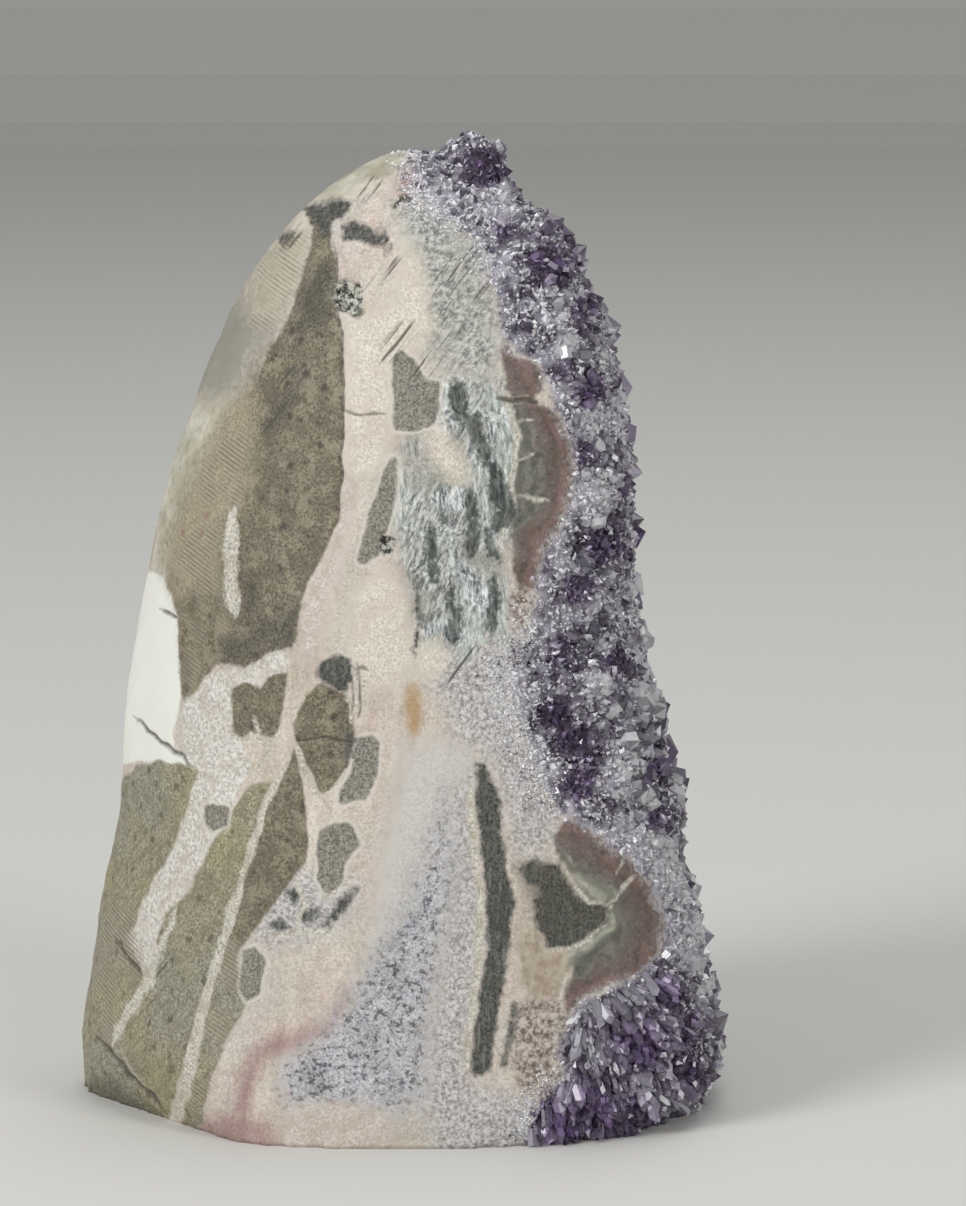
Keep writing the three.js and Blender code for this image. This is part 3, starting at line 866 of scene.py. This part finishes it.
def lay_agate(s):
    """Agate, whose bands follow the line where the amethyst begins."""
    from_line = s.math("ADD", s.given("d_amethyst"), s.times(s.math("SUBTRACT", s.blotch, 0.5), 34.0))
    bands = s.math("SINE", s.times(from_line, 0.42))
    agate = s.two(s.spread(from_line, 18, 36), (122, 99, 92), (94, 95, 86))
    band = s.two(s.spread(from_line, 16, 36), (78, 65, 59), (134, 131, 121))
    agate = s.lay(agate, s.spread(bands, -0.6, 1.0), band, 0.55)
    agate = s.lay(agate, s.spread(s.fleck, 0.54, 0.66), (66, 60, 54), 0.6)
    agate = s.lay(agate, s.spread(s.grain, 0.46, 0.34), (166, 158, 148), 0.4)
    s.cover(s.mask("agate", 2.5, 1.0), agate)
    pale = s.two(s.spread(bands, -0.8, 0.9), (126, 126, 113), (178, 178, 162))
    s.cover(s.mask("pale", 2.5, 0.6), s.lay(pale, s.spread(s.fleck, 0.52, 0.64), (128, 124, 108), 0.5), 0.9)
    s.cover(s.mask("rust", 5, 2), s.two(s.spread(s.crumbs, 0.40, 0.60), (90, 68, 60), (202, 192, 180)), 0.9)


def lay_clasts(s):
    """The rind, the white band, the white stretch on the rind with its painted sheen, the clasts, and darker
    stretches with a painted shadow.
    """
    s.cover(s.mask("rind", 20, 6), s.two(s.blotch, (134, 132, 120), (162, 159, 147)))
    facet = s.two(s.spread(s.blotch, 0.36, 0.64), (168, 163, 142), (210, 205, 188))
    s.cover(s.mask("facet", 9, 3), s.lay(facet, s.spread(s.fleck, 0.52, 0.66), (146, 142, 126), 0.45))
    white = s.two(s.spread(s.sugar_grain, 0.34, 0.60), (156, 150, 139), (231, 228, 220))
    s.cover(s.mask("white"), s.lay(white, s.spread(s.mottle, 0.48, 0.62), (186, 172, 160), 0.55))
    # white on the rind, painted near white as the sheen along its left edge
    s.cover(s.mask("patch_and_sheen"), s.two(s.blotch, (226, 226, 216), (238, 238, 230)))
    olive = s.two(s.mid_grain, (106, 99, 68), (184, 177, 145))
    olive = s.lay(olive, s.spread(s.cloud, 0.42, 0.6), s.two(s.mid_grain, (98, 94, 78), (178, 174, 154)))
    olive = s.lay(olive, s.spread(s.scratch, 0.55, 0.66), (102, 97, 80), 0.35)
    olive = s.lay(olive, s.spread(s.mottle, 0.5, 0.6), s.two(s.grain, (92, 87, 68), (142, 136, 112)), 0.55)
    s.cover(s.mask("olive"), s.lay(olive, s.specks, (80, 76, 60), 0.75))
    brown = s.two(s.mid_grain, (68, 61, 43), (152, 144, 120))
    duller = s.two(s.mid_grain, (72, 64, 50), (138, 128, 108))
    brown = s.lay(brown, s.spread(s.blotch, 0.45, 0.6), duller, 0.8)
    brown = s.lay(brown, s.spread(s.mottle, 0.51, 0.59), s.two(s.grain, (72, 66, 52), (116, 110, 92)), 0.6)
    lighter = s.two(s.grain, (138, 128, 104), (170, 163, 140))
    brown = s.lay(brown, s.spread(s.mottle, 0.47, 0.40), lighter, 0.5)
    s.cover(s.mask("brown"), s.lay(brown, s.specks, (60, 55, 43), 0.85))
    beige = s.two(s.mid_grain, (136, 125, 103), (186, 176, 152))
    beige = s.lay(beige, s.times(s.specks, s.spread(s.cloud, 0.4, 0.5)), (146, 116, 104), 0.7)
    s.cover(s.mask("beige", 12, 1.5), beige, 0.85)
    s.cover(s.mask("grey", 1.5, 1, 3.5), (216, 211, 200), 0.6)
    s.cover(s.mask("grey"), s.two(s.spread(s.grain, 0.40, 0.60), (90, 86, 77), (163, 159, 147)))
    dark = s.two(s.spread(s.grain, 0.40, 0.60), (26, 26, 22), (104, 104, 96))
    dark = s.lay(dark, s.spread(s.mottle, 0.52, 0.6), s.two(s.grain, (40, 40, 36), (84, 84, 77)), 0.6)
    hair = s.noise(0.5, 4, 0.7, long=9, lean=3)
    s.cover(s.mask("dark", 2.6, 1.2), s.lay(dark, s.spread(hair, 0.52, 0.64), (130, 130, 123), 0.6))
    # darker stretches of stone and the core, with a painted shadow at the chipped bottom-left corner
    s.cover(s.mask("shade", 8, 2), s.two(s.spread(s.grain, 0.4, 0.62), (40, 39, 32), (100, 98, 86)), 0.65)


def lay_lines(s):
    """Saw marks, veins, slivers, scratches, cracks and vugs. Returns the height of the saw marks."""
    bands = s.bands(0.56, 28)
    sawn = s.times(s.mask("ribs", 8, 1.5), s.spread(s.blotch, 0.40, 0.58))
    s.cover(sawn, (174, 164, 142), 0.5)
    s.cover(s.times(sawn, s.spread(bands, 0.4, 0.9)), (92, 85, 69), 0.6)
    vein = s.two(s.spread(s.grain, 0.36, 0.6), (138, 132, 116), (226, 222, 210))
    s.cover(s.mask("vein", 1.6, 0.8), s.lay(vein, s.spread(s.mottle, 0.52, 0.62), (164, 152, 126), 0.55))
    sliver = s.two(s.spread(s.fine_streak, 0.42, 0.62), (34, 40, 36), (112, 118, 111))
    s.cover(s.mask("sliver", 2.5, 2), sliver, 0.9)
    s.cover(s.times(s.mask("scratched", 4, 1), s.spread(s.scratch, 0.54, 0.62)), (74, 71, 60), 0.85)
    s.cover(s.mask("stroke", 1.2, 0.3), (70, 66, 55), 0.85)
    s.cover(s.mask("vug", 1.5, 0.8), s.two(s.spread(s.crumbs, 0.46, 0.54), (44, 43, 36), (198, 197, 184)))
    return s.times(bands, sawn)


def lay_bed(s):
    """The amethyst bed under the crystals, with a frosted line where it begins."""
    frost = s.two(s.spread(s.sugar_grain, 0.38, 0.60), (110, 101, 98), (222, 218, 216))
    s.cover(s.mask("amethyst", 6, 3, 4.0), frost, 0.75)
    pale = s.math("ADD", s.given("tone"), s.spread(s.crumbs, 0.3, 0.7, -0.45, 0.45))
    s.cover(s.mask("amethyst", 2.5, 2.0), s.two(s.spread(pale, 0.2, 1.2), (56, 46, 65), (176, 172, 182)))


def stone_material():
    s = StoneShader("ground_stone")
    lay_matrix(s)
    lay_agate(s)
    lay_clasts(s)
    saw_marks = lay_lines(s)
    lay_bed(s)
    height = s.math("ADD", s.times(s.grain, 0.8), s.times(saw_marks, 0.8))
    s.surface({
        "Base Color": s.look,
        "Roughness": s.spread(s.grain, 0.3, 0.7, 0.45, 0.7),
        "Normal": s.bump(height, strength=0.7, distance=0.2),
    })
    return s.material


# Crystals, as arrays joined into one mesh
CRYSTAL_TRIANGLES = np.array(
    [(k, (k + 1) % 6, 6 + k) for k in range(6)]
    + [((k + 1) % 6, 6 + (k + 1) % 6, 6 + k) for k in range(6)]
    + [(6 + k, 6 + (k + 1) % 6, 12) for k in range(6)]
    + [((k + 1) % 6, k, 13) for k in range(6)]
)


def unit(vectors):
    return vectors / np.linalg.norm(vectors, axis=1)[:, None]


def turned(axis):
    """Unit axes, each with two directions square to it that are turned at random."""
    axis = unit(axis)
    side = unit(np.cross(axis, rng.normal(size=axis.shape)))
    return axis, side, np.cross(axis, side)


def crystals(at, axis, radius, shoulder, point, sunk):
    """Six-sided columns with a point, closed below: points and triangles of them all, in mm."""
    count = len(at)
    axis, side, other = turned(axis)
    turn = np.arange(6) * math.pi / 3
    uneven = rng.uniform(*CRYSTAL_SIDES, (count, 6))
    ring = (np.cos(turn) * uneven)[:, :, None] * side[:, None]
    ring = ring + (np.sin(turn) * uneven)[:, :, None] * other[:, None]
    ring = ring * radius[:, None, None]
    foot = ring + at[:, None] - (sunk[:, None] * axis)[:, None]
    steps = np.where(np.arange(6) % 2, SHOULDER_STEP, -SHOULDER_STEP) * radius[:, None] + shoulder[:, None]
    waist = ring + at[:, None] + steps[:, :, None] * axis[:, None]
    lean = rng.normal(size=(count, 2)) * TIP_LEAN * radius[:, None]
    tip = at + (shoulder + point)[:, None] * axis + lean[:, :1] * side + lean[:, 1:] * other
    base = at - sunk[:, None] * axis
    points = np.concatenate([foot, waist, tip[:, None], base[:, None]], axis=1)
    triangles = CRYSTAL_TRIANGLES[None] + 14 * np.arange(count)[:, None, None]
    return points.reshape(-1, 3), triangles.reshape(-1, 3)


CRYSTAL_FACETS = np.concatenate([np.arange(6), np.arange(6), np.arange(6, 12), np.arange(12, 18)])

SHARD_TRIANGLES = np.array(
    [(0, 2, 3), (0, 3, 4), (0, 4, 5), (0, 5, 2), (1, 3, 2), (1, 4, 3), (1, 5, 4), (1, 2, 5)]
)


def shards(at, axis, radius, long):
    """Uneven eight-sided grains: points and triangles of them all, in mm."""
    count = len(at)
    axis, side, other = turned(axis)
    reach = radius[:, None] * rng.uniform(*GRAIN_REACHES, (count, 6))
    reach[:, :2] *= long[:, None]
    ways = np.stack([axis, -axis, side, other, -side, -other], axis=1)
    jitter = GRAIN_JITTER * radius[:, None, None] * rng.normal(size=(count, 6, 3))
    points = at[:, None] + reach[:, :, None] * ways + jitter
    triangles = SHARD_TRIANGLES[None] + 6 * np.arange(count)[:, None, None]
    return points.reshape(-1, 3), triangles.reshape(-1, 3)


class Bed:
    """The part of the body that crystals grow on: its triangles, their areas and their smooth directions."""

    def __init__(self, mesh, normals, amethyst):
        mesh.calc_loop_triangles()
        corners = read(mesh.loop_triangles, "vertices", 3, np.int32)
        points = read(mesh.vertices, "co", 3).astype(float) / MM
        self.a, self.b, self.c = (points[corners[:, k]] for k in range(3))
        self.middle = (self.a + self.b + self.c) / 3
        self.normal = unit(normals[corners].mean(axis=1))
        self.depth = amethyst[corners].mean(axis=1)
        self.area = np.linalg.norm(np.cross(self.b - self.a, self.c - self.a), axis=1)

    def sites(self, count, weight):
        """Random places, more where the weight is larger: points, directions and depth inside the line."""
        share = self.area * weight
        picked = rng.choice(len(share), count, p=share / share.sum())
        u, v = rng.random((2, count))
        u, v = np.where(u + v > 1, 1 - u, u), np.where(u + v > 1, 1 - v, v)
        to_b, to_c = (self.b - self.a)[picked], (self.c - self.a)[picked]
        at = self.a[picked] + u[:, None] * to_b + v[:, None] * to_c
        return at, self.normal[picked], self.depth[picked]


def crystal_tint(at, depth, lift, rich=0.0, palest=1.0):
    """Colour of each crystal, from smoky purple through lilac to white, whiter near the line."""
    purple = amethyst_spots(at, PURPLE_SPOTS)
    uneven = (CRYSTAL_UNEVEN - CALM_IN_PURPLE * purple) * rng.normal(size=len(at))
    drift = np.clip(tone(at, depth) + lift + uneven, 0, palest)
    shades = np.array([colour(*shade) for shade in TONE_SHADES])
    tint = np.stack([np.interp(drift, TONE_STEPS, shades[:, k]) for k in range(3)], axis=1)
    rich = np.minimum(rich * ease(-24, 6, at[:, 1]) + purple, 1) * ease(1.0, 0.35, drift)
    return tint * (1 + rich[:, None] * RICH_PURPLE)


def facet_tints_and_glints(tint, count):
    """A tint for each facet: painted lighter or darker than its crystal as painted glints and shade, and
    painted white here and there as frost and painted glints.
    """
    glinting_facets = tint[:, None] * np.exp(FACET_GLINT_CONTRAST * rng.normal(size=(len(tint), count, 1)))
    # painted white facets, partly frost and partly painted glints
    frost = rng.random((len(tint), count, 1)) < FROST_AND_GLINT_SHARE * tint.mean(axis=1)[:, None, None]
    return np.clip(np.where(frost, 0.5 + 0.5 * glinting_facets, glinting_facets), 0, PALEST_FACET)


def sizes_at(at, sizes):
    """Radii in mm between two sizes, mostly small, larger where the large crystals are."""
    radius = sizes[0] + (sizes[1] - sizes[0]) * rng.random(len(at)) ** SMALL_BIAS
    in_big = spots(photo_px(at), BIG_SPOTS)
    return radius * (1 + BIG_PLACE_GROWTH * in_big * (at[:, 1] < PHOTO_PLACES_END))


def grown(bed, count, weight, sizes, axis_of, rise, point, lift=0.0, rich=0.0, palest=1.0):
    """Crystals scattered over part of the bed, with the column's and the point's height in radii."""
    at, normal, depth = bed.sites(count, weight)
    radius = sizes_at(at, sizes)
    shoulder = radius * rng.uniform(*rise, count)
    tip = radius * rng.uniform(*point, count)
    points, triangles = crystals(at, axis_of(at, normal), radius, shoulder, tip, radius)
    tints_and_glints = facet_tints_and_glints(crystal_tint(at, depth, lift, rich, palest), 18)
    return points, triangles, tints_and_glints[:, CRYSTAL_FACETS].reshape(-1, 3)


def strewn(bed, count, weight, sizes, axis_of, long, lift=0.0):
    """Shards scattered over part of the bed, with their length in radii."""
    at, normal, depth = bed.sites(count, weight)
    radius = sizes_at(at, sizes)
    points, triangles = shards(at, axis_of(at, normal), radius, rng.uniform(*long, count))
    return points, triangles, facet_tints_and_glints(crystal_tint(at, depth, lift), 8).reshape(-1, 3)


def upright(tilt):
    """Axes along the surface's own direction, tilted at random."""
    return lambda at, normal: normal + tilt * rng.normal(size=at.shape)


def across(tilt):
    """Axes that lie partly in the cut, towards the crystal face."""
    return lambda at, normal: 0.7 * normal + np.array([0.45, 0, 0.1]) + tilt * rng.normal(size=at.shape)


def fanned(tilt):
    """Axes that lie in the cut and fan out from the nodule."""
    def axes(at, normal):
        away = unit(photo_px(at) - NODULE)
        flat = np.stack([away[:, 0], np.zeros(len(at)), -away[:, 1]], axis=1)
        return flat + 0.55 * normal + tilt * rng.normal(size=at.shape)
    return axes


def crystal_piece(name, parts, material):
    """Joins groups of crystals into one object. Each part is points, triangles and a tint per triangle,
    which holds the facets' painted glints and shade.
    """
    starts = np.cumsum([0] + [len(part[0]) for part in parts])
    points = np.concatenate([part[0] for part in parts])
    triangles = np.concatenate([part[1] + start for part, start in zip(parts, starts)])
    tints_and_glints = np.concatenate([part[2] for part in parts])
    points[:, 2] = np.maximum(points[:, 2], LOWEST_POINT)
    mesh = bpy.data.meshes.new(name)
    mesh.from_pydata(points * MM, [], triangles)
    # the tint holds each facet's painted glints and shade
    layer = mesh.attributes.new("tint", "FLOAT_COLOR", "CORNER")
    rgba = np.ones((triangles.size, 4), np.float32)
    rgba[:, :3] = np.repeat(tints_and_glints, 3, axis=0)
    layer.data.foreach_set("color", rgba.ravel())
    mesh.materials.append(material)
    return show(bpy.data.objects.new(name, mesh))


def show(obj):
    bpy.context.scene.collection.objects.link(obj)
    return obj


def amethyst_material(name, clear, roughness, density):
    s = Shader(name)
    grain = s.spread(s.noise(0.5, 3, 0.6), 0.4, 0.7)
    # the crystals' tint carries their facets' painted glints and shade
    tint = s.mix(s.times(grain, 0.12), s.given("tint", "Color"), colour(232, 229, 236))
    s.surface({
        "Base Color": tint, "Roughness": roughness, "IOR": QUARTZ_IOR, "Transmission Weight": clear,
    })
    absorb = s.add("VolumeAbsorption", 0, {"Color": colour(176, 150, 200), "Density": density})
    s.put(s.nodes["Material Output"], {"Volume": absorb})
    return s.material


# The pieces, and where on the bed each kind of crystal grows
body_skin, growth, amethyst_depth = body_mesh()
body_skin.materials.append(stone_material())
body = show(bpy.data.objects.new("stone_body", body_skin))
bed = Bed(body_skin, growth, amethyst_depth)
above_floor = bed.middle[:, 2] > 0.5
facing = bed.normal[:, 0]
on_face = ease(1, -6, bed.depth) * ease(0.45, 0.75, facing) * above_floor
on_cut = ease(0.80, 0.55, facing) * (bed.normal[:, 2] > -0.5) * above_floor
sugar_cut = on_cut * ease(8, -8, bed.depth)
column_cut = on_cut * ease(-2, -16, bed.depth)
along_line = ease(38, 4, bed.depth) * ease(-12, 0, bed.depth)
frosted = along_line * spots(photo_px(bed.middle), FROST_SPOTS) * on_cut
near_side = bed.normal[:, 1] < 0.15
in_foot = outline_distance(photo_px(bed.middle), FOOT) < 0
at_foot = column_cut * near_side * in_foot
in_view = ease(-0.2, 0.1, bed.normal @ CAMERA_BACK)
at_rim = spots(photo_px(bed.middle), RIM_SPOTS) * (bed.middle[:, 1] < PHOTO_PLACES_END)
near_grains = np.maximum(sugar_cut * near_side, on_face * in_view) * (1 - 0.8 * in_foot)

clear_amethyst = amethyst_material("clear_amethyst", clear=0.5, roughness=0.08, density=220)
sugar_amethyst = amethyst_material("sugar_amethyst", clear=0.2, roughness=0.25, density=220)
pieces = {
    "stone_body": body,
    "crystal_druse": crystal_piece("crystal_druse", [
        grown(
            bed, 900, on_face * (1 - in_view), sizes=(0.9, 2.2), axis_of=upright(0.5),
            rise=(-0.1, 0.5), point=(0.7, 1.15), lift=0.06, rich=0.5,
        ),
        grown(
            bed, 5400, on_face * (1 - 0.7 * in_view), sizes=(0.4, 0.95), axis_of=upright(0.55),
            rise=(0.1, 0.8), point=(0.7, 1.2), lift=0.04, rich=0.5,
        ),
        grown(
            bed, 1700, on_face * in_view, sizes=(0.22, 0.62), axis_of=upright(0.6),
            rise=(0.0, 0.8), point=(0.6, 1.1), lift=0.14,
        ),
        grown(
            bed, 120, on_face * at_rim, sizes=(0.7, 1.3), axis_of=upright(0.5),
            rise=(0.0, 0.7), point=(0.5, 1.0), lift=0.2,
        ),
    ], clear_amethyst),
    "near_cut_grains": crystal_piece("near_cut_grains", [
        strewn(
            bed, 17000, near_grains, sizes=(0.13, 0.42), axis_of=across(0.8),
            long=(0.8, 2.6), lift=0.16,
        ),
        strewn(
            bed, 3000, frosted * near_side, sizes=(0.12, 0.28), axis_of=across(0.9),
            long=(0.8, 1.8), lift=0.3,
        ),
        grown(
            bed, 1300, at_foot, sizes=(0.3, 0.8), axis_of=fanned(0.25),
            rise=(1.2, 3.6), point=(0.6, 1.4), rich=0.6, palest=0.55,
        ),
    ], sugar_amethyst),
    "far_cut_grains": crystal_piece("far_cut_grains", [
        strewn(
            bed, 9500, sugar_cut * ~near_side, sizes=(0.25, 0.65), axis_of=across(0.8),
            long=(0.8, 2.2), lift=0.06,
        ),
        grown(
            bed, 2400, column_cut * ~near_side, sizes=(0.35, 0.95), axis_of=across(0.6),
            rise=(-0.1, 0.9), point=(0.5, 1.1),
        ),
    ], sugar_amethyst),
}
for name, piece in pieces.items():
    node = "host_stone" if name == "stone_body" else "amethyst_crust"
    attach(piece, "root")
    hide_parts(node)


# Floor, light and camera
def sweep():
    """A pale floor that curves up into a backdrop."""
    wide, front, back, bend, tall = 5.0, -6.0, 1.8, 0.6, 5.0
    arc = [(back + bend * math.sin(t), bend - bend * math.cos(t)) for t in np.linspace(0, math.pi / 2, 12)]
    rows = [(front, 0.0)] + arc + [(back + bend, tall)]
    points = [(x, y, z) for y, z in rows for x in (-wide, wide)]
    faces = [(2 * k, 2 * k + 1, 2 * k + 3, 2 * k + 2) for k in range(len(rows) - 1)]
    mesh = bpy.data.meshes.new("floor")
    mesh.from_pydata(points, [], faces)
    paint = Shader("pale_floor")
    paint.surface({"Base Color": colour(216, 215, 210), "Roughness": 0.7})
    mesh.materials.append(paint.material)
    show(bpy.data.objects.new("floor", mesh))


def lamp(name, at, size, watts):
    data = bpy.data.lights.new(name, "AREA")
    data.shape = "DISK"
    data.size = size
    data.energy = watts
    obj = show(bpy.data.objects.new(name, data))
    obj.location = at
    obj.rotation_euler = (Vector((0, 0, 0.06)) - Vector(at)).to_track_quat("-Z", "Y").to_euler()


sweep()
lamp("key", at=(-0.95, -0.80, 0.75), size=0.6, watts=12)
lamp("fill", at=(0.90, -0.80, 0.55), size=0.5, watts=5)
lamp("top", at=(0.15, 0.30, 1.30), size=0.8, watts=5)
world = bpy.data.worlds.new("studio")
world.use_nodes = True
world.node_tree.nodes["Background"].inputs["Color"].default_value = (0.92, 0.94, 0.97, 1)
world.node_tree.nodes["Background"].inputs["Strength"].default_value = 0.33
bpy.context.scene.world = world
bpy.context.scene.view_settings.view_transform = "Standard"

lens = bpy.data.cameras.new("camera")
lens.sensor_fit = "VERTICAL"
lens.sensor_height = 24
lens.lens = lens.sensor_height * CAMERA_DISTANCE * PX_PER_MM / PHOTO_HEIGHT
lens.clip_start = 0.01
camera = show(bpy.data.objects.new("camera", lens))
camera.location = Vector((LOOK_AT + CAMERA_DISTANCE * CAMERA_BACK) * MM)
camera.rotation_euler = (math.pi / 2 - CAMERA_ELEVATION, 0, 0)
bpy.context.scene.camera = camera
